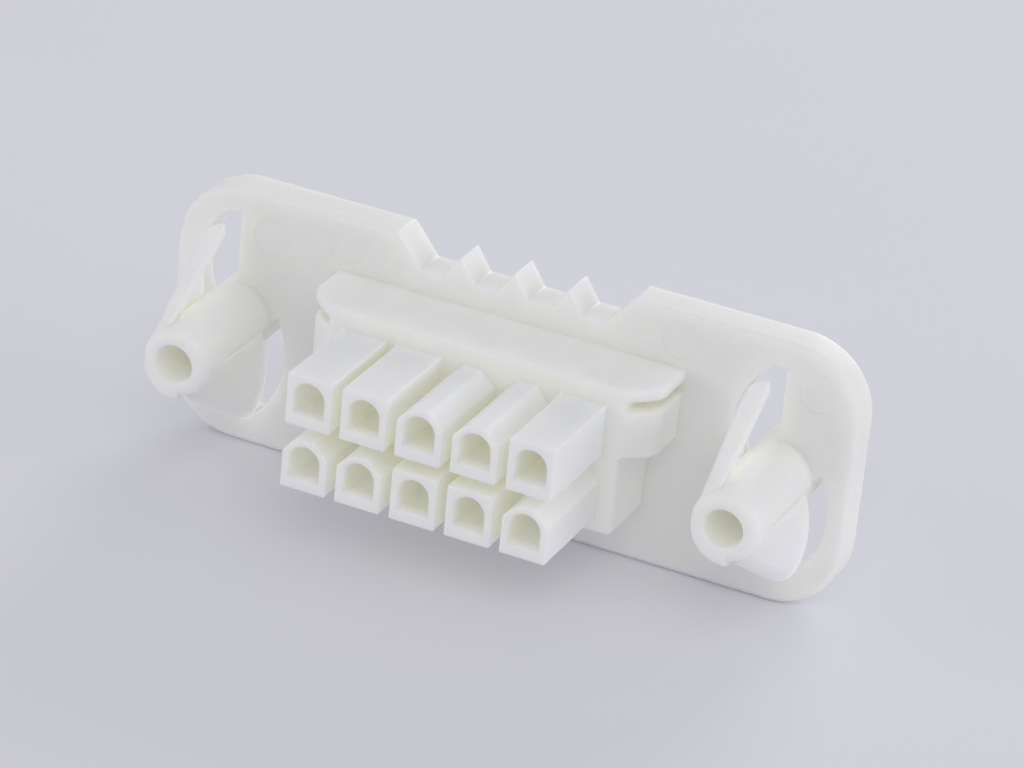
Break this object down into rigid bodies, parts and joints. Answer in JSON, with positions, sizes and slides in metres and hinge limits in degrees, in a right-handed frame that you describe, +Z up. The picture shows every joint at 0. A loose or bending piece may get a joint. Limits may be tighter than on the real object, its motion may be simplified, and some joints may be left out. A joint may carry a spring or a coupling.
{
  "type": "socket header",
  "caption": "Panel mounted socket header: a toothed rectangular flange carries rows of keyed socket tubes in front and a snap post at each end, to hold wire contacts in a panel.",
  "frame": {"origin": "middle of the flange's front face, half way between the two rows of tubes", "axes": "+X along the rows, +Z up towards the toothed edge, -Y out of the tube mouths through the panel"},
  "size_m": [0.0528, 0.021, 0.0198],
  "materials": {
    "nylon": "satin, milky natural nylon"
  },
  "bodies": {
    "root": {"housing": "nylon"}
  },
  "joints": []
}
